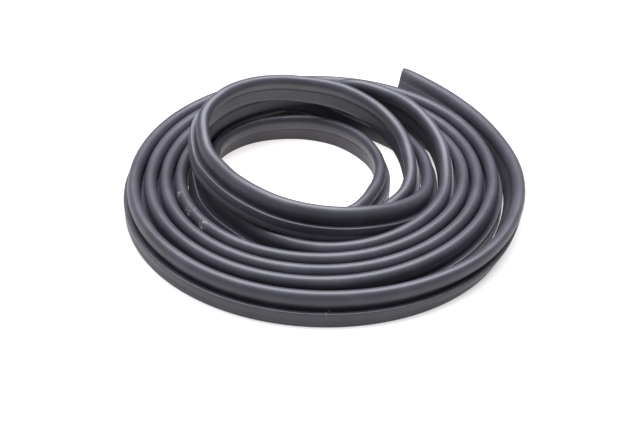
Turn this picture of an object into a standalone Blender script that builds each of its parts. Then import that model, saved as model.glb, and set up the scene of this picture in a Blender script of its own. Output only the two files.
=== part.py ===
"""A car door seal: one length of extruded rubber strip, wound into a loose coil.

The strip has a solid base with a flange on its outer side and a hollow bulb on top.
The coil stands on the underside of its base, and its inner turns ride up over each other.
"""
import math

import bpy
import bmesh
from mathutils import Matrix, Vector

# Section of the strip, in metres: x runs out from the coil's middle, z up from the underside
BASE_WIDTH = 0.0100
BASE_HEIGHT = 0.0104
BULB_WIDTH = 0.0088
BULB_HEIGHT = 0.0119
BULB_WALL = 0.0019
BULB_SETBACK = 0.0024
BULB_SINK = 0.0001
NECK_WIDTH = 0.0052
NOTCH_DEPTH = 0.0003
SLOT_DROP = 0.0009
EDGE_CHAMFER = 0.0006
BULB_SIDES = 10
BORE_SIDES = 6

# Vent holes through the bulb's wall, low on its outer side: those that show, by their length along
# the strip from its outer end, and hidden ones spread evenly between them, about a pitch apart
VENT_DIAMETER = 0.0021
VENT_PITCH = 0.197
VENTS_SEEN = (0.274, 0.479, 1.025, 1.233, 1.996, 3.132, 3.743)
VENT_ANGLE = -32.0
VENT_SIDES = 8
VENT_PROUD = 0.0006

# Coil: the bulb's distance from the middle on the outer turn, the room between turns,
# and the shift that brings the middle of the coil's whole width over the origin
COIL_RADIUS = 0.1316
TURN_GAP = 0.0002
STATIONS_PER_TURN = 32
SHIFT_X, SHIFT_Y = 0.0033, -0.0034

STRIP_HEIGHT = BASE_HEIGHT - BULB_SINK + BULB_HEIGHT
PITCH = BASE_WIDTH + TURN_GAP
BULB_AXIS = STRIP_HEIGHT - BULB_HEIGHT / 2

# The coil's lie, clockwise from above, outer end first, at the places where it bends or climbs:
# turn angle in degrees, pitches in from the outer turn, lift in strip heights, outward lean in degrees
LIE = (
    (-68, -2.03, 0.00, 25),
    (-55, -1.00, 0.00, 25),
    (-40, -0.25, 0.00, 20),
    (-20, 0.19, 0.00, 14),
    (0, 0.17, 0.00, 21),
    (22, 0.03, 0.00, 29),
    (45, -0.18, 0.00, 20),
    (65, -0.09, 0.00, 8),
    (90, 0.03, 0.00, 0),
    (180, -0.21, 0.00, 0),
    (225, -0.30, 0.00, 0),
    (250, -0.08, 0.00, 0),
    (270, 0.27, 0.00, 0),
    (315, 1.21, 0.00, 3),
    (360, 1.78, 0.00, 0),
    (405, 1.84, 0.00, 0),
    (450, 1.43, 0.00, 0),
    (540, 0.89, 0.00, 0),
    (585, 0.74, 0.00, 0),
    (610, 0.94, 0.00, 0),
    (630, 1.32, 0.00, 0),
    (675, 2.41, 0.00, 0),
    (720, 2.82, 0.00, 0),
    (765, 2.86, 0.00, 0),
    (810, 2.53, 0.00, 0),
    (900, 1.93, 0.00, 0),
    (945, 1.77, 0.00, 0),
    (970, 2.00, 0.00, 0),
    (990, 2.39, 0.00, 0),
    (1035, 3.43, 0.00, 0),
    (1080, 3.79, 0.00, 6),
    (1125, 3.93, 0.00, 1),
    (1170, 3.68, 0.00, 0),
    (1215, 3.29, 0.00, 0),
    (1260, 2.94, 0.00, 0),
    (1305, 2.79, 0.00, 0),
    (1330, 3.12, 0.06, 0),
    (1346, 3.56, 0.52, 0),
    (1361, 4.27, 0.98, -7),
    (1376, 4.39, 0.96, -7),
    (1398, 4.74, 0.90, -4),
    (1425, 4.83, 0.44, 4),
    (1440, 4.97, 0.16, 6),
    (1456, 4.96, 0.01, 5),
    (1485, 4.98, 0.00, 0),
    (1530, 4.74, 0.00, 0),
    (1552, 5.01, 0.00, -4),
    (1575, 5.37, 0.00, -15),
    (1590, 5.23, 0.00, -25),
    (1605, 4.99, 0.00, -34),
    (1620, 4.60, 0.35, -19),
    (1637, 4.08, 0.89, -5),
    (1645, 3.84, 1.00, -6),
    (1665, 4.02, 1.00, -8),
    (1690, 4.39, 0.93, -3),
    (1706, 4.76, 0.63, -2),
    (1721, 5.08, 0.28, -2),
    (1736, 5.17, 0.03, -4),
    (1752, 5.46, 0.00, -4),
    (1770, 5.94, 0.05, 0),
    (1785, 6.10, 0.09, 0),
    (1800, 6.18, 0.08, 2),
    (1822, 6.09, 0.14, 2),
    (1845, 6.22, 0.37, -1),
    (1867, 6.19, 0.63, -5),
    (1890, 6.01, 0.85, -4),
    (1912, 5.86, 1.00, -6),
    (1935, 5.81, 1.07, -10),
    (1957, 5.49, 1.09, -15),
    (1975, 4.78, 1.26, -13),
    (1990, 4.43, 1.73, -13),
    (2005, 4.93, 1.96, -13),
    (2020, 5.37, 1.94, -16),
    (2040, 6.00, 1.81, -16),
    (2054, 6.34, 1.67, -13),
    (2081, 6.57, 1.37, -4),
    (2100, 6.59, 1.04, 0),
    (2117, 6.81, 0.76, 4),
    (2145, 7.27, 0.46, 4),
    (2160, 7.34, 0.29, 2),
    (2182, 7.38, 0.09, 1),
    (2205, 7.55, 0.00, 0),
    (2228, 7.24, 0.00, 0),
    (2250, 6.97, 0.00, 0),
    (2295, 6.49, 0.00, -4),
    (2325, 6.04, 0.00, -6),
    (2340, 5.67, 0.00, -7),
    (2365, 4.35, 0.00, -16),
    (2385, 4.42, 0.00, -18),
    (2407, 5.33, 0.00, -17),
    (2430, 6.37, 0.00, -10),
    (2452, 7.47, 0.00, -4),
    (2475, 8.47, 0.00, -4),
    (2497, 9.06, 0.00, 0),
    (2520, 9.41, 0.00, 0),
    (2542, 9.46, 0.00, 0),
    (2556, 9.37, 0.00, 0),
    (2573, 9.01, 0.00, 0),
    (2587, 8.56, 0.00, 0),
    (2600, 8.20, 0.00, 0),
)


def lie_at(angle):
    """Pitches in, lift and lean at a turn angle, on a smooth curve through the lie's rows."""
    last = len(LIE) - 2
    row = next((i for i in range(last) if angle < LIE[i + 1][0]), last)
    before, start, end, after = (LIE[min(max(i, 0), last + 1)] for i in range(row - 1, row + 3))
    span = end[0] - start[0]
    t = (angle - start[0]) / span
    values = []
    for item in range(1, 4):
        slope_in = (end[item] - before[item]) / (end[0] - before[0]) * span
        slope_out = (after[item] - start[item]) / (after[0] - start[0]) * span
        values.append(
            (2 * t**3 - 3 * t**2 + 1) * start[item]
            + (t**3 - 2 * t**2 + t) * slope_in
            + (3 * t**2 - 2 * t**3) * end[item]
            + (t**3 - t**2) * slope_out
        )
    pitches, lift, lean = values
    return pitches, max(lift, 0.0), lean


def ellipse_point(centre, width, height, degrees):
    """A point on an upright ellipse of the section, by its angle from the outward side."""
    turn = math.radians(degrees)
    return (centre[0] + width / 2 * math.cos(turn), centre[1] + height / 2 * math.sin(turn))


def section_outline():
    """The strip's outline about the bulb's axis line, anticlockwise from its inner bottom edge."""
    inner = BULB_SETBACK - BASE_WIDTH / 2
    outer = BULB_SETBACK + BASE_WIDTH / 2
    neck_inner = inner + NOTCH_DEPTH
    neck_outer = neck_inner + NECK_WIDTH
    centre = (0.0, BULB_AXIS)
    start = -math.degrees(math.acos(min(neck_outer / (BULB_WIDTH / 2), 1.0)))
    end = 180 + math.degrees(math.acos(min(-neck_inner / (BULB_WIDTH / 2), 1.0)))
    step = (end - start) / (BULB_SIDES - 1)
    bulb = [ellipse_point(centre, BULB_WIDTH, BULB_HEIGHT, start + step * i) for i in range(BULB_SIDES)]
    return [
        (inner, 0.0),
        (outer, 0.0),
        (outer, BASE_HEIGHT),
        (neck_outer, BASE_HEIGHT - SLOT_DROP),
        *bulb,
        (neck_inner, BASE_HEIGHT),
        (inner, BASE_HEIGHT - EDGE_CHAMFER),
    ]


def bore_outline():
    """The hollow inside the bulb."""
    centre = (0.0, BULB_AXIS)
    width = BULB_WIDTH - 2 * BULB_WALL
    height = BULB_HEIGHT - 2 * BULB_WALL
    step = 360 / BORE_SIDES
    return [ellipse_point(centre, width, height, step * i) for i in range(BORE_SIDES)]


def strip_frame(angle):
    """Where the bulb's axis line and the underside meet at a turn angle, leaned as it lies."""
    pitches, lift, lean = lie_at(angle)
    tilt = Matrix.Rotation(math.radians(lean), 4, "Y")
    corners = [tilt @ Vector((x, 0.0, z)) for x, z in section_outline()]
    lowest = min(corner.z for corner in corners)
    bulb_axis = tilt @ Vector((0.0, 0.0, BULB_AXIS))
    distance = COIL_RADIUS - pitches * PITCH - bulb_axis.x
    place = Matrix.Translation((distance, 0.0, lift * STRIP_HEIGHT - lowest))
    shift = Matrix.Translation((SHIFT_X, SHIFT_Y, 0.0))
    return shift @ Matrix.Rotation(-math.radians(angle), 4, "Z") @ place @ tilt


def turn_angles():
    """The turn angles of the strip's stations, alike on every turn."""
    step = 360 / STATIONS_PER_TURN
    first, last = LIE[0][0], LIE[-1][0]
    inside = [step * i for i in range(math.ceil(first / step), math.ceil(last / step))]
    return [first, *(angle for angle in inside if first + step / 3 < angle < last - step / 3), last]


def rubber():
    """Matte near-black rubber with a cold grey cast."""
    material = bpy.data.materials.new("seal_rubber")
    material.use_nodes = True
    shader = material.node_tree.nodes["Principled BSDF"]
    shader.inputs["Base Color"].default_value = (0.045, 0.047, 0.055, 1.0)
    shader.inputs["Roughness"].default_value = 0.6
    shader.inputs["Metallic"].default_value = 0.0
    return material


def sweep_strip():
    """The section's two loops drawn from station to station, and both cut ends closed round the bore."""
    mesh = bmesh.new()
    angles = turn_angles()
    frame = strip_frame(angles[0])
    loops = []
    for outline in (section_outline(), bore_outline()):
        verts = [mesh.verts.new(frame @ Vector((x, 0.0, z))) for x, z in outline]
        loops.append([mesh.edges.new((a, b)) for a, b in zip(verts, verts[1:] + verts[:1])])
    first_ring = [edge for loop in loops for edge in loop]
    ring = first_ring
    for angle in angles[1:]:
        onward = strip_frame(angle) @ frame.inverted()
        made = bmesh.ops.extrude_edge_only(mesh, edges=ring)["geom"]
        bmesh.ops.transform(mesh, matrix=onward, verts=[g for g in made if isinstance(g, bmesh.types.BMVert)])
        ring = [g for g in made if isinstance(g, bmesh.types.BMEdge) and len(g.link_faces) == 1]
        frame = strip_frame(angle)
    for end in (first_ring, ring):
        bmesh.ops.triangle_fill(mesh, use_beauty=True, use_dissolve=False, edges=end)
    bmesh.ops.recalc_face_normals(mesh, faces=mesh.faces)
    data = bpy.data.meshes.new("door_seal")
    mesh.to_mesh(data)
    mesh.free()
    return data


def axis_point(angle):
    """The bulb's axis at a turn angle."""
    return strip_frame(angle) @ Vector((0.0, 0.0, BULB_AXIS))


def vent_runs():
    """Lengths along the strip of all vents, from the outer end inward."""
    runs = [VENTS_SEEN[0] - VENT_PITCH]
    for near, far in zip(VENTS_SEEN, VENTS_SEEN[1:]):
        count = round((far - near) / VENT_PITCH)
        runs += [near + (far - near) * i / count for i in range(count)]
    return runs + [VENTS_SEEN[-1] + VENT_PITCH * i for i in range(4)]


def vent_angles():
    """The turn angles at the vents' lengths along the bulb's axis."""
    found = []
    due = vent_runs()
    step = 1.0
    angle, run = LIE[0][0], 0.0
    here = axis_point(angle)
    while due and angle + step <= LIE[-1][0]:
        there = axis_point(angle + step)
        piece = (there - here).length
        if run + piece >= due[0]:
            found.append(angle + step * (due.pop(0) - run) / piece)
        run += piece
        angle, here = angle + step, there
    return found


def vent_cutter():
    """One short round pin for each vent, from the bore out through the bulb's wall."""
    mesh = bmesh.new()
    wall_out = Vector(ellipse_point((0.0, 0.0), BULB_WIDTH, BULB_HEIGHT, VENT_ANGLE))
    length = BULB_WALL * 1.5 + VENT_PROUD
    middle = wall_out.length + VENT_PROUD - length / 2
    pointing = Vector((wall_out.x, 0.0, wall_out.y)).normalized()
    for angle in vent_angles():
        turn = pointing.to_track_quat("Z", "Y").to_matrix().to_4x4()
        seat = Matrix.Translation(Vector((0.0, 0.0, BULB_AXIS)) + pointing * middle)
        bmesh.ops.create_cone(
            mesh,
            cap_ends=True,
            segments=VENT_SIDES,
            radius1=VENT_DIAMETER / 2,
            radius2=VENT_DIAMETER / 2,
            depth=length,
            matrix=strip_frame(angle) @ seat @ turn,
        )
    data = bpy.data.meshes.new("vent_pins")
    mesh.to_mesh(data)
    mesh.free()
    cutter = bpy.data.objects.new("vent_pins", data)
    cutter.hide_render = True
    cutter.display_type = "WIRE"
    bpy.context.scene.collection.objects.link(cutter)
    return cutter


def build():
    """The coiled strip with its vents."""
    for old in list(bpy.data.objects):
        bpy.data.objects.remove(old)
    seal = bpy.data.objects.new("door_seal", sweep_strip())
    bpy.context.scene.collection.objects.link(seal)
    seal.data.materials.append(rubber())
    seal.data.shade_smooth()
    seal.data.set_sharp_from_angle(angle=math.radians(40))
    vents = seal.modifiers.new("vents", "BOOLEAN")
    vents.operation = "DIFFERENCE"
    vents.solver = "EXACT"
    vents.object = vent_cutter()


build()
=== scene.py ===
import math

import bmesh
import bpy
from mathutils import Matrix, Vector, noise


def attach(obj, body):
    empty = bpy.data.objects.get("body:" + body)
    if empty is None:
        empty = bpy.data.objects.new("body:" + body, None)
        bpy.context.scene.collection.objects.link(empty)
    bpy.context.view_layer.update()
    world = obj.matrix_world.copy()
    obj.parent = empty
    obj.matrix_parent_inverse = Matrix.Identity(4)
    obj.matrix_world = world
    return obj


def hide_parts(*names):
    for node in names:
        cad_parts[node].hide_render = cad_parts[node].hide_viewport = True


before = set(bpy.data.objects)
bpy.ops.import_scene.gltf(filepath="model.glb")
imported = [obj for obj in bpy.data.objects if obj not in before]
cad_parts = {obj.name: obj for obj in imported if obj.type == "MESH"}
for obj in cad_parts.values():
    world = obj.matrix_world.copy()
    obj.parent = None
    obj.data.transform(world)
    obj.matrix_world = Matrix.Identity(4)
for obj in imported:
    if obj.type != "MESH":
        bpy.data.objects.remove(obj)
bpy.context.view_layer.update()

# Camera
# A long lens looks down on the coil from in front at 36 degrees, a little to the left of the
# middle of its turns. The lens and the distance together set how strongly the far turns shrink.
LENS_MM = 67.5
SENSOR_MM = 36.0
VIEW_DOWN = math.radians(36.1)
CAMERA_PLACE = Vector((-0.0023, -0.6892, 0.4852))

camera_data = bpy.data.cameras.new("camera")
camera_data.lens = LENS_MM
camera_data.sensor_width = SENSOR_MM
camera_data.clip_start = 0.01
camera = bpy.data.objects.new("camera", camera_data)
camera.location = CAMERA_PLACE
camera.rotation_euler = (math.pi / 2 - VIEW_DOWN, 0.0, 0.0)
bpy.context.scene.collection.objects.link(camera)
bpy.context.scene.camera = camera

# Section of the strip
# One extrusion of soft sponge rubber: a solid base with a flange on its outer side, and a hollow
# bulb on top. x runs out from the middle of the coil, z up from the underside, both in metres.
BASE_WIDTH = 0.0100
BASE_HEIGHT = 0.0104
BULB_WIDTH = 0.0088
BULB_HEIGHT = 0.0119
BULB_WALL = 0.0019
BULB_SETBACK = 0.0024
BULB_SINK = 0.0001
NECK_WIDTH = 0.0052
NOTCH_DEPTH = 0.0003
SLOT_DROP = 0.0009
SLOT_SLOPE_WIDTH = 0.0006
SLOT_SLOPE_DROP = SLOT_DROP * 0.8
SHOULDER_DROPS = (0.0001, 0.0003, 0.0006)
FOOT_RADIUS = 0.0005
FLANGE_RADIUS = 0.0008
GROOVE_HEIGHT = 0.0046
GROOVE_DEPTH = 0.00022
GROOVE_HALF = 0.0005
RIB_HEIGHTS = (0.0010, 0.0021)
RIB_RISE = 0.00014
RIB_HALF = 0.00035
FOOT_POINTS = 4
FLANGE_POINTS = 6
BULB_POINTS = 26
BORE_POINTS = 12
STRIP_HEIGHT = BASE_HEIGHT - BULB_SINK + BULB_HEIGHT
BULB_AXIS = STRIP_HEIGHT - BULB_HEIGHT / 2
INNER = BULB_SETBACK - BASE_WIDTH / 2
OUTER = BULB_SETBACK + BASE_WIDTH / 2


def arc(centre, width, height, first, last, count):
    """Points on an upright ellipse, by their angles from the outward side."""
    turns = [math.radians(first + (last - first) * i / (count - 1)) for i in range(count)]
    return [(centre[0] + width / 2 * math.cos(t), centre[1] + height / 2 * math.sin(t)) for t in turns]


def crease(x, height, half, tip):
    """A groove or a rib in a wall that runs up the section, from below, its tip moved along x."""
    return [(x, height - half), (x + tip, height), (x, height + half)]


def section_outline():
    """The outline, anticlockwise from the foot of the inner wall."""
    neck_inner = INNER + NOTCH_DEPTH
    neck_outer = neck_inner + NECK_WIDTH
    bulb_first = -math.degrees(math.acos(neck_outer / (BULB_WIDTH / 2)))
    bulb_last = 180 + math.degrees(math.acos(-neck_inner / (BULB_WIDTH / 2)))
    foot, flange = FOOT_RADIUS, FLANGE_RADIUS
    outline = arc((INNER + foot, foot), 2 * foot, 2 * foot, 180, 270, FOOT_POINTS)
    outline += arc((OUTER - foot, foot), 2 * foot, 2 * foot, 270, 360, FOOT_POINTS)
    outline += crease(OUTER, GROOVE_HEIGHT, GROOVE_HALF, -GROOVE_DEPTH)
    outline += arc((OUTER - flange, BASE_HEIGHT - flange), 2 * flange, 2 * flange, 0, 90, FLANGE_POINTS)
    outline += [(neck_outer + SLOT_SLOPE_WIDTH, BASE_HEIGHT - SLOT_SLOPE_DROP)]
    outline += [(neck_outer, BASE_HEIGHT - SLOT_DROP)]
    outline += arc((0.0, BULB_AXIS), BULB_WIDTH, BULB_HEIGHT, bulb_first, bulb_last, BULB_POINTS)
    last_x, last_z = outline[-1]
    notch, shoulder, wall = (last_z - drop for drop in SHOULDER_DROPS)
    outline += [(last_x, notch), (INNER + SHOULDER_DROPS[0], shoulder), (INNER, wall)]
    for height in reversed(RIB_HEIGHTS):
        outline += reversed(crease(INNER, height, RIB_HALF, -RIB_RISE))
    return outline


def length_round(outline, points):
    """The length round an outline up to a number of its points."""
    return sum(math.dist(outline[i], outline[i + 1]) for i in range(points))


def bore_outline():
    """The hollow inside the bulb."""
    width, height = BULB_WIDTH - 2 * BULB_WALL, BULB_HEIGHT - 2 * BULB_WALL
    step = 360 / BORE_POINTS
    return arc((0.0, BULB_AXIS), width, height, 0, 360 - step, BORE_POINTS)


# Lengths round the section at which the outer wall ends, halfway round the flange's rounded edge,
# and the inner wall starts, at its shoulder; a crease has three points
WALL_END_POINT = 2 * FOOT_POINTS + 3 + FLANGE_POINTS // 2
WALL_START_POINT = len(section_outline()) - 3 * len(RIB_HEIGHTS) - len(SHOULDER_DROPS)
WALL_END = length_round(section_outline(), WALL_END_POINT)
WALL_START = length_round(section_outline(), WALL_START_POINT)

# Lie of the coil
# The strip is wound loosely by hand, clockwise from above with its flange outward. Its outer turns
# stand on the floor; further in, turns ride up over each other and lean. Outer cut end first.
COIL_RADIUS = 0.1316
TURN_GAP = 0.0002
SHIFT = Vector((0.0033, -0.0034, 0.0))
PITCH = BASE_WIDTH + TURN_GAP

# The step, in degrees of turn angle, by which the strip's length is added up
RUN_STEP = 0.5

# Turn angle in degrees, pitches in from the outer turn, lift in strip heights, outward lean in degrees
LIE = (
    (-68, -2.03, 0.00, 25),
    (-55, -1.00, 0.00, 25),
    (-40, -0.25, 0.00, 20),
    (-20, 0.19, 0.00, 14),
    (0, 0.17, 0.00, 21),
    (22, 0.03, 0.00, 29),
    (45, -0.18, 0.00, 20),
    (65, -0.09, 0.00, 8),
    (90, 0.03, 0.00, 0),
    (180, -0.21, 0.00, 0),
    (225, -0.30, 0.00, 0),
    (250, -0.08, 0.00, 0),
    (270, 0.27, 0.00, 0),
    (315, 1.21, 0.00, 3),
    (360, 1.78, 0.00, 0),
    (405, 1.84, 0.00, 0),
    (450, 1.43, 0.00, 0),
    (540, 0.89, 0.00, 0),
    (585, 0.74, 0.00, 0),
    (610, 0.94, 0.00, 0),
    (630, 1.32, 0.00, 0),
    (675, 2.41, 0.00, 0),
    (720, 2.82, 0.00, 0),
    (765, 2.86, 0.00, 0),
    (810, 2.53, 0.00, 0),
    (900, 1.93, 0.00, 0),
    (945, 1.77, 0.00, 0),
    (970, 2.00, 0.00, 0),
    (990, 2.39, 0.00, 0),
    (1035, 3.43, 0.00, 0),
    (1080, 3.79, 0.00, 6),
    (1125, 3.93, 0.00, 1),
    (1170, 3.68, 0.00, 0),
    (1215, 3.29, 0.00, 0),
    (1260, 2.94, 0.00, 0),
    (1305, 2.79, 0.00, 0),
    (1330, 3.12, 0.06, 0),
    (1346, 3.56, 0.52, 0),
    (1361, 4.27, 0.98, -7),
    (1376, 4.39, 0.96, -7),
    (1398, 4.74, 0.90, -4),
    (1425, 4.83, 0.44, 4),
    (1440, 4.97, 0.16, 6),
    (1456, 4.96, 0.01, 5),
    (1485, 4.98, 0.00, 0),
    (1530, 4.74, 0.00, 0),
    (1552, 5.01, 0.00, -4),
    (1575, 5.37, 0.00, -15),
    (1590, 5.23, 0.00, -25),
    (1605, 4.99, 0.00, -34),
    (1620, 4.60, 0.35, -19),
    (1637, 4.08, 0.89, -5),
    (1645, 3.84, 1.00, -6),
    (1665, 4.02, 1.00, -8),
    (1690, 4.39, 0.93, -3),
    (1706, 4.76, 0.63, -2),
    (1721, 5.08, 0.28, -2),
    (1736, 5.17, 0.03, -4),
    (1752, 5.46, 0.00, -4),
    (1770, 5.94, 0.05, 0),
    (1785, 6.10, 0.09, 0),
    (1800, 6.18, 0.08, 2),
    (1822, 6.09, 0.14, 2),
    (1845, 6.22, 0.37, -1),
    (1867, 6.19, 0.63, -5),
    (1890, 6.01, 0.85, -4),
    (1912, 5.86, 1.00, -6),
    (1935, 5.81, 1.07, -10),
    (1957, 5.49, 1.09, -15),
    (1975, 4.78, 1.26, -13),
    (1990, 4.43, 1.73, -13),
    (2005, 4.93, 1.96, -13),
    (2020, 5.37, 1.94, -16),
    (2040, 6.00, 1.81, -16),
    (2054, 6.34, 1.67, -13),
    (2081, 6.57, 1.37, -4),
    (2100, 6.59, 1.04, 0),
    (2117, 6.81, 0.76, 4),
    (2145, 7.27, 0.46, 4),
    (2160, 7.34, 0.29, 2),
    (2182, 7.38, 0.09, 1),
    (2205, 7.55, 0.00, 0),
    (2228, 7.24, 0.00, 0),
    (2250, 6.97, 0.00, 0),
    (2295, 6.49, 0.00, -4),
    (2325, 6.04, 0.00, -6),
    (2340, 5.67, 0.00, -7),
    (2365, 4.35, 0.00, -16),
    (2385, 4.42, 0.00, -18),
    (2407, 5.33, 0.00, -17),
    (2430, 6.37, 0.00, -10),
    (2452, 7.47, 0.00, -4),
    (2475, 8.47, 0.00, -4),
    (2497, 9.06, 0.00, 0),
    (2520, 9.41, 0.00, 0),
    (2542, 9.46, 0.00, 0),
    (2556, 9.37, 0.00, 0),
    (2573, 9.01, 0.00, 0),
    (2587, 8.56, 0.00, 0),
    (2600, 8.20, 0.00, 0),
)


def lie_at(angle):
    """Pitches in, lift and lean at a turn angle, on a smooth curve through the lie's rows."""
    last = len(LIE) - 2
    row = next((i for i in range(last) if angle < LIE[i + 1][0]), last)
    before, start, end, after = (LIE[min(max(i, 0), last + 1)] for i in range(row - 1, row + 3))
    span = end[0] - start[0]
    t = (angle - start[0]) / span
    values = []
    for item in range(1, 4):
        slope_in = (end[item] - before[item]) / (end[0] - before[0]) * span
        slope_out = (after[item] - start[item]) / (after[0] - start[0]) * span
        values.append(
            (2 * t**3 - 3 * t**2 + 1) * start[item]
            + (t**3 - 2 * t**2 + t) * slope_in
            + (3 * t**2 - 2 * t**3) * end[item]
            + (t**3 - t**2) * slope_out
        )
    pitches, lift, lean = values
    return pitches, max(lift, 0.0), lean


def strip_frame(angle):
    """Where the bulb's axis line and the underside meet at a turn angle, leaned as it lies."""
    pitches, lift, lean = lie_at(angle)
    tilt = Matrix.Rotation(math.radians(lean), 4, "Y")
    lowest = min((tilt @ Vector((x, 0.0, 0.0))).z for x in (INNER, OUTER))
    bulb_axis = tilt @ Vector((0.0, 0.0, BULB_AXIS))
    distance = COIL_RADIUS - pitches * PITCH - bulb_axis.x
    place = Matrix.Translation((distance, 0.0, lift * STRIP_HEIGHT - lowest))
    return Matrix.Translation(SHIFT) @ Matrix.Rotation(-math.radians(angle), 4, "Z") @ place @ tilt


def axis_run():
    """Turn angles in small steps, each with the length of the bulb's axis up to it."""
    angle, run = float(LIE[0][0]), 0.0
    here = strip_frame(angle) @ Vector((0.0, 0.0, BULB_AXIS))
    found = [(run, angle)]
    while angle < LIE[-1][0]:
        angle = min(angle + RUN_STEP, LIE[-1][0])
        there = strip_frame(angle) @ Vector((0.0, 0.0, BULB_AXIS))
        run += (there - here).length
        found.append((run, angle))
        here = there
    return found


AXIS_RUN = axis_run()
STRIP_LENGTH = AXIS_RUN[-1][0]


def angle_at(run):
    """The turn angle at a length along the strip."""
    low, high = 0, len(AXIS_RUN) - 1
    while high - low > 1:
        middle = (low + high) // 2
        low, high = (middle, high) if AXIS_RUN[middle][0] <= run else (low, middle)
    (run_low, angle_low), (run_high, angle_high) = AXIS_RUN[low], AXIS_RUN[high]
    return angle_low + (angle_high - angle_low) * (run - run_low) / (run_high - run_low)


# The strip
# A sheet is drawn out along the coil and closed round its section, inside and outside, and both
# cut ends are filled. The outer end was cut by hand: aslant, a little ragged, its bulb squeezed.
STATIONS = 1240
CUT_SLANT = 0.0022
CUT_RAG = 0.00035
CUT_FADE = 0.012
RAG_SCALE = 900
RAG_SEED = 3.7
PINCH_FADE = 0.014
PINCH = 0.20
PINCH_LOWERS = 0.4
WELD_DISTANCE = 0.000001
END_REACH = 0.03
SHARP_ANGLE = math.radians(50)


def outer_end(x, z, run):
    """A section point near the outer cut end: the bulb squeezed and the cut aslant and ragged."""
    squeeze = PINCH * max(0.0, 1 - run / PINCH_FADE) ** 2
    if z > BASE_HEIGHT:
        x *= 1 - squeeze
        z -= (z - BASE_HEIGHT) * squeeze * PINCH_LOWERS
    fade = max(0.0, 1 - run / CUT_FADE)
    rag = noise.noise(Vector((x * RAG_SCALE, z * RAG_SCALE, RAG_SEED))) * CUT_RAG
    return x, z, (CUT_SLANT * z / STRIP_HEIGHT + rag + CUT_RAG) * fade


def swept_sheet(outline):
    """A bmesh sheet bent round an outline and drawn along the strip, its UV in metres."""
    mesh = bmesh.new()
    layer = mesh.loops.layers.uv.new("along")
    columns = len(outline)
    bmesh.ops.create_grid(mesh, x_segments=STATIONS, y_segments=columns, size=0.5)
    frames = [strip_frame(angle_at(STRIP_LENGTH * i / STATIONS)) for i in range(STATIONS + 1)]
    sides = [math.dist(outline[i], outline[(i + 1) % columns]) for i in range(columns)]
    around = [sum(sides[:i]) for i in range(columns + 1)]
    for vert in mesh.verts:
        station = round((vert.co.x + 0.5) * STATIONS)
        column = round((vert.co.y + 0.5) * columns)
        run = STRIP_LENGTH * station / STATIONS
        for loop in vert.link_loops:
            loop[layer].uv = (run, around[column])
        x, z, along = outer_end(*outline[column % columns], run)
        vert.co = frames[station] @ Vector((x, -along, z))
    bmesh.ops.remove_doubles(mesh, verts=mesh.verts, dist=WELD_DISTANCE)
    return mesh


def joined_strip():
    """The outer skin and the bore's skin in one mesh, with both ends closed between them."""
    mesh = swept_sheet(section_outline())
    bore = swept_sheet(bore_outline())
    inside = bpy.data.meshes.new("bore")
    bore.to_mesh(inside)
    bore.free()
    mesh.from_mesh(inside)
    bpy.data.meshes.remove(inside)
    open_edges = [edge for edge in mesh.edges if len(edge.link_faces) == 1]
    first = strip_frame(LIE[0][0]) @ Vector((0.0, 0.0, BULB_AXIS))
    near = [e for e in open_edges if (e.verts[0].co - first).length < END_REACH]
    far = [e for e in open_edges if e not in set(near)]
    for end in (near, far):
        bmesh.ops.triangle_fill(mesh, use_beauty=True, use_dissolve=False, edges=end)
    bmesh.ops.recalc_face_normals(mesh, faces=mesh.faces)
    data = bpy.data.meshes.new("seal_strip")
    mesh.to_mesh(data)
    mesh.free()
    return data


strip = bpy.data.objects.new("seal_strip", joined_strip())
bpy.context.scene.collection.objects.link(strip)
strip.data.shade_smooth()
strip.data.set_sharp_from_angle(angle=SHARP_ANGLE)

# Vents
# Small round holes are punched through the bulb's wall into its bore, low on the outer side and
# about 0.2 m apart, so that the bulb can breathe out when the door closes on it.
VENT_DIAMETER = 0.0021
VENT_PITCH = 0.197
VENT_ANGLE = -32.0
VENT_SIDES = 14
VENT_PROUD = 0.0006
VENTS_AT_END = 4

# Lengths along the strip of the vents that show; hidden ones are spread evenly between them
VENTS_SEEN = (0.274, 0.479, 1.025, 1.233, 1.996, 3.132, 3.743)


def vent_runs():
    """Lengths along the strip of all vents, from the outer end inward."""
    runs = [VENTS_SEEN[0] - VENT_PITCH]
    for near, far in zip(VENTS_SEEN, VENTS_SEEN[1:]):
        count = round((far - near) / VENT_PITCH)
        runs += [near + (far - near) * i / count for i in range(count)]
    return runs + [VENTS_SEEN[-1] + VENT_PITCH * i for i in range(VENTS_AT_END)]


def vent_pins():
    """One short round pin for each vent, from the bore out through the bulb's wall."""
    mesh = bmesh.new()
    turn = math.radians(VENT_ANGLE)
    wall_out = Vector((BULB_WIDTH / 2 * math.cos(turn), 0.0, BULB_HEIGHT / 2 * math.sin(turn)))
    pointing = wall_out.normalized()
    length = BULB_WALL * 1.5 + VENT_PROUD
    middle = wall_out.length + VENT_PROUD - length / 2
    aim = pointing.to_track_quat("Z", "Y").to_matrix().to_4x4()
    seat = Matrix.Translation(Vector((0.0, 0.0, BULB_AXIS)) + pointing * middle)
    for run in vent_runs():
        bmesh.ops.create_cone(
            mesh,
            cap_ends=True,
            segments=VENT_SIDES,
            radius1=VENT_DIAMETER / 2,
            radius2=VENT_DIAMETER / 2,
            depth=length,
            matrix=strip_frame(angle_at(run)) @ seat @ aim,
        )
    data = bpy.data.meshes.new("vent_pins")
    mesh.to_mesh(data)
    mesh.free()
    return data


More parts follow.
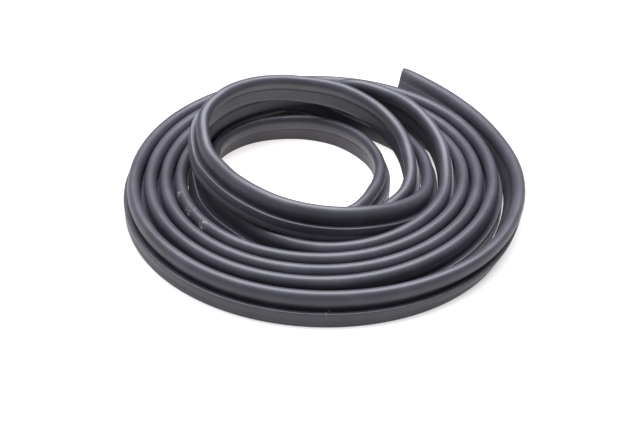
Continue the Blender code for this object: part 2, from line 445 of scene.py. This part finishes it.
pins = bpy.data.objects.new("vent_pins", vent_pins())
bpy.context.scene.collection.objects.link(pins)
punched = strip.modifiers.new("vents", "BOOLEAN")
punched.operation = "DIFFERENCE"
punched.solver = "EXACT"
punched.object = pins
bpy.context.view_layer.update()
evaluated = strip.evaluated_get(bpy.context.evaluated_depsgraph_get())
strip_mesh = bpy.data.meshes.new_from_object(evaluated)
strip.modifiers.remove(punched)
strip.data = strip_mesh
bpy.data.objects.remove(pins)

# Rubber
# Matte near-black sponge rubber with a cold violet cast. The skin is finely grained, the walls of
# the base carry the die's fine lines along the strip, and chalky dust clings in a few places.
RUBBER_COLOUR = (0.026, 0.0235, 0.031, 1.0)
RUBBER_WORN = (0.040, 0.037, 0.047, 1.0)
CHALK_COLOUR = (0.22, 0.225, 0.21, 1.0)
ROUGHNESS = 0.46
REFRACTION = 1.52
LINE_PITCH = 0.00035
LINE_CELLS_PER_METRE = 6.0
LINE_BUMP = 0.00005
GRAIN_SIZE = 0.0006
GRAIN_BUMP = 0.00001
MOTTLE_SCALE = 38.0
MOTTLE_FROM, MOTTLE_TO = 0.35, 0.75

# Chalk: the fleck pattern's scale, how far a mark's nearness lifts it, the band of the pattern that
# turns to chalk, how fast a mark's rim fades, and how much rougher chalk is
FLECK_SCALE = 420.0
NEARNESS = 0.36
CHALK_FROM, CHALK_TO = 0.66, 0.74
RIM_FADE = 12.0
CHALK_ROUGHER = 0.4

# Chalky marks, in metres: middle, radius, and how much of the spot they cover
CHALK_MARKS = (
    ((-0.0962, -0.0290, 0.0180), 0.0090, 0.55),
    ((-0.0890, -0.0480, 0.0170), 0.0100, 0.40),
    ((-0.0794, -0.0643, 0.0190), 0.0080, 0.60),
    ((0.0013, -0.1396, 0.0105), 0.0060, 0.45),
)


class Web:
    """A material's node tree, with short calls for its nodes and links."""

    def __init__(self, material):
        material.use_nodes = True
        self.nodes, self.links = material.node_tree.nodes, material.node_tree.links
        self.shader = self.nodes["Principled BSDF"]

    def add(self, kind, fixed=None, **inputs):
        """A node with its properties set and its inputs set or linked, by name or position."""
        node = self.nodes.new(kind)
        for name, value in (fixed or {}).items():
            setattr(node, name, value)
        for name, value in inputs.items():
            key = int(name[1:]) if name[0] == "i" and name[1:].isdigit() else name.replace("_", " ")
            self.feed(node.inputs[key], value)
        return node

    def feed(self, socket, value):
        """A socket set to a constant, or linked to another node's output."""
        if isinstance(value, bpy.types.NodeSocket):
            self.links.new(value, socket)
        else:
            socket.default_value = value

    def math(self, operation, first, second=0.0):
        """The result of a math node."""
        return self.add("ShaderNodeMath", {"operation": operation}, i0=first, i1=second).outputs[0]

    def ramp(self, value, low, high):
        """A value mapped smoothly to nought below low and one above high."""
        fixed = {"interpolation_type": "SMOOTHSTEP"}
        node = self.add("ShaderNodeMapRange", fixed, Value=value, From_Min=low, From_Max=high)
        return node.outputs[0]


def chalk(web, place):
    """How much chalk lies at a place: ragged flecks near each mark."""
    pattern = {"Scale": FLECK_SCALE, "Detail": 5.0, "Roughness": 0.65}
    flecks = web.add("ShaderNodeTexNoise", Vector=place, **pattern).outputs[0]
    total = 0.0
    for middle, radius, cover in CHALK_MARKS:
        fixed = {"operation": "DISTANCE"}
        away = web.add("ShaderNodeVectorMath", fixed, i0=place, i1=middle).outputs["Value"]
        near = web.math("MULTIPLY", web.ramp(away, radius, 0.0), cover * NEARNESS)
        mark = web.ramp(web.math("ADD", flecks, near), CHALK_FROM, CHALK_TO)
        mark = web.math("MINIMUM", mark, web.math("MULTIPLY", near, RIM_FADE))
        total = web.math("MAXIMUM", mark, total)
    return total


def rubber():
    """The strip's material."""
    material = bpy.data.materials.new("seal_rubber")
    web = Web(material)
    place = web.add("ShaderNodeTexCoord").outputs["Object"]
    along = web.add("ShaderNodeUVMap", {"uv_map": "along"}).outputs[0]
    run_and_round = web.add("ShaderNodeSeparateXYZ", Vector=along)
    around = run_and_round.outputs["Y"]
    walls = web.math("LESS_THAN", around, WALL_END)
    walls = web.math("MAXIMUM", walls, web.math("GREATER_THAN", around, WALL_START))
    drawn = web.add(
        "ShaderNodeCombineXYZ",
        X=web.math("MULTIPLY", run_and_round.outputs["X"], LINE_CELLS_PER_METRE),
        Y=web.math("DIVIDE", around, LINE_PITCH),
    ).outputs[0]
    pattern = {"Scale": 1.0, "Detail": 3.0, "Roughness": 0.6}
    lines = web.add("ShaderNodeTexNoise", Vector=drawn, **pattern).outputs[0]
    grain = web.add("ShaderNodeTexNoise", Vector=place, Scale=1 / GRAIN_SIZE, Detail=2.0).outputs[0]
    pattern = {"Scale": MOTTLE_SCALE, "Detail": 4.0, "Roughness": 0.6}
    mottle = web.add("ShaderNodeTexNoise", Vector=place, **pattern).outputs[0]
    chalked = chalk(web, place)
    lined = web.math("MULTIPLY", web.math("MULTIPLY", lines, walls), LINE_BUMP)
    height = web.math("ADD", lined, web.math("MULTIPLY", grain, GRAIN_BUMP))
    bump = web.add("ShaderNodeBump", Height=height, Distance=1.0, Strength=1.0)
    worn = web.ramp(mottle, MOTTLE_FROM, MOTTLE_TO)
    mix = {"data_type": "RGBA"}
    skin = web.add("ShaderNodeMix", mix, i0=worn, i6=RUBBER_COLOUR, i7=RUBBER_WORN).outputs[2]
    colour = web.add("ShaderNodeMix", mix, i0=chalked, i6=skin, i7=CHALK_COLOUR).outputs[2]
    rough = web.math("ADD", ROUGHNESS, web.math("MULTIPLY", chalked, CHALK_ROUGHER))
    web.feed(web.shader.inputs["Base Color"], colour)
    web.feed(web.shader.inputs["Roughness"], rough)
    web.feed(web.shader.inputs["IOR"], REFRACTION)
    web.feed(web.shader.inputs["Normal"], bump.outputs[0])
    return material


strip.data.materials.clear()
strip.data.materials.append(rubber())
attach(strip, "root")
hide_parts("door_seal")

# Floor and light
# A white sheet carries the coil. It glows evenly, and inside the coil's eye it glows more: painted
# light that leaves no grey there and lights the inner walls. A broad soft light hangs over it, a little
# behind, and a dimmer bluish room closes it in.
FLOOR_WIDTH, FLOOR_DEPTH = 0.96, 0.84
FLOOR_BACK = 0.10
FLOOR_COLOUR = (0.36, 0.345, 0.34, 1.0)
FLOOR_ROUGHNESS = 0.9
GLOW_COLOUR = (1.0, 0.96, 0.95, 1.0)
FLOOR_GLOW = 0.52
# Painted light: how much more the sheet glows inside the coil's eye, to cancel the shade there
EYE_PAINTED_LIGHT = 0.60
EYE_RADIUS = 0.10
ROOM_COLOUR = (0.84, 0.90, 1.0, 1.0)
ROOM_STRENGTH = 0.50
LAMP_PLACE = Vector((0.0, 0.22, 1.1))
LAMP_WIDTH, LAMP_DEPTH = 1.6, 0.9
LAMP_WATTS = 56
LAMP_COLOUR = (0.90, 0.93, 1.0)


def floor_white():
    """Matte white that glows a little, and more inside the coil's eye as painted light against the
    shade there.
    """
    material = bpy.data.materials.new("floor_white")
    web = Web(material)
    place = web.add("ShaderNodeTexCoord").outputs["Object"]
    from_middle = web.add("ShaderNodeVectorMath", {"operation": "LENGTH"}, i0=place).outputs["Value"]
    # Painted light: extra glow inside the coil's eye, in place of the shade that falls there
    in_eye = web.ramp(from_middle, EYE_RADIUS, EYE_RADIUS / 2)
    glow = web.math("ADD", FLOOR_GLOW, web.math("MULTIPLY", in_eye, EYE_PAINTED_LIGHT))
    web.feed(web.shader.inputs["Base Color"], FLOOR_COLOUR)
    web.feed(web.shader.inputs["Roughness"], FLOOR_ROUGHNESS)
    web.feed(web.shader.inputs["Specular IOR Level"], 0.0)
    web.feed(web.shader.inputs["Emission Color"], GLOW_COLOUR)
    web.feed(web.shader.inputs["Emission Strength"], glow)
    return material


sheet = bmesh.new()
half_size = Matrix.Diagonal((FLOOR_WIDTH / 2, FLOOR_DEPTH / 2, 1.0, 1.0))
half_sheet = Matrix.Translation((0.0, FLOOR_BACK, 0.0)) @ half_size
bmesh.ops.create_grid(sheet, x_segments=1, y_segments=1, size=1.0, matrix=half_sheet)
floor_mesh = bpy.data.meshes.new("floor")
sheet.to_mesh(floor_mesh)
sheet.free()
floor = bpy.data.objects.new("floor", floor_mesh)
bpy.context.scene.collection.objects.link(floor)
floor.data.materials.append(floor_white())

room = bpy.data.worlds.new("room")
room.use_nodes = True
room.node_tree.nodes["Background"].inputs["Color"].default_value = ROOM_COLOUR
room.node_tree.nodes["Background"].inputs["Strength"].default_value = ROOM_STRENGTH
bpy.context.scene.world = room
bpy.context.scene.view_settings.view_transform = "Standard"

lamp = bpy.data.lights.new("overhead", "AREA")
lamp.shape = "RECTANGLE"
lamp.size, lamp.size_y = LAMP_WIDTH, LAMP_DEPTH
lamp.energy = LAMP_WATTS
lamp.color = LAMP_COLOUR
overhead = bpy.data.objects.new("overhead", lamp)
overhead.location = LAMP_PLACE
overhead.rotation_euler = (-LAMP_PLACE).to_track_quat("-Z", "Y").to_euler()
bpy.context.scene.collection.objects.link(overhead)
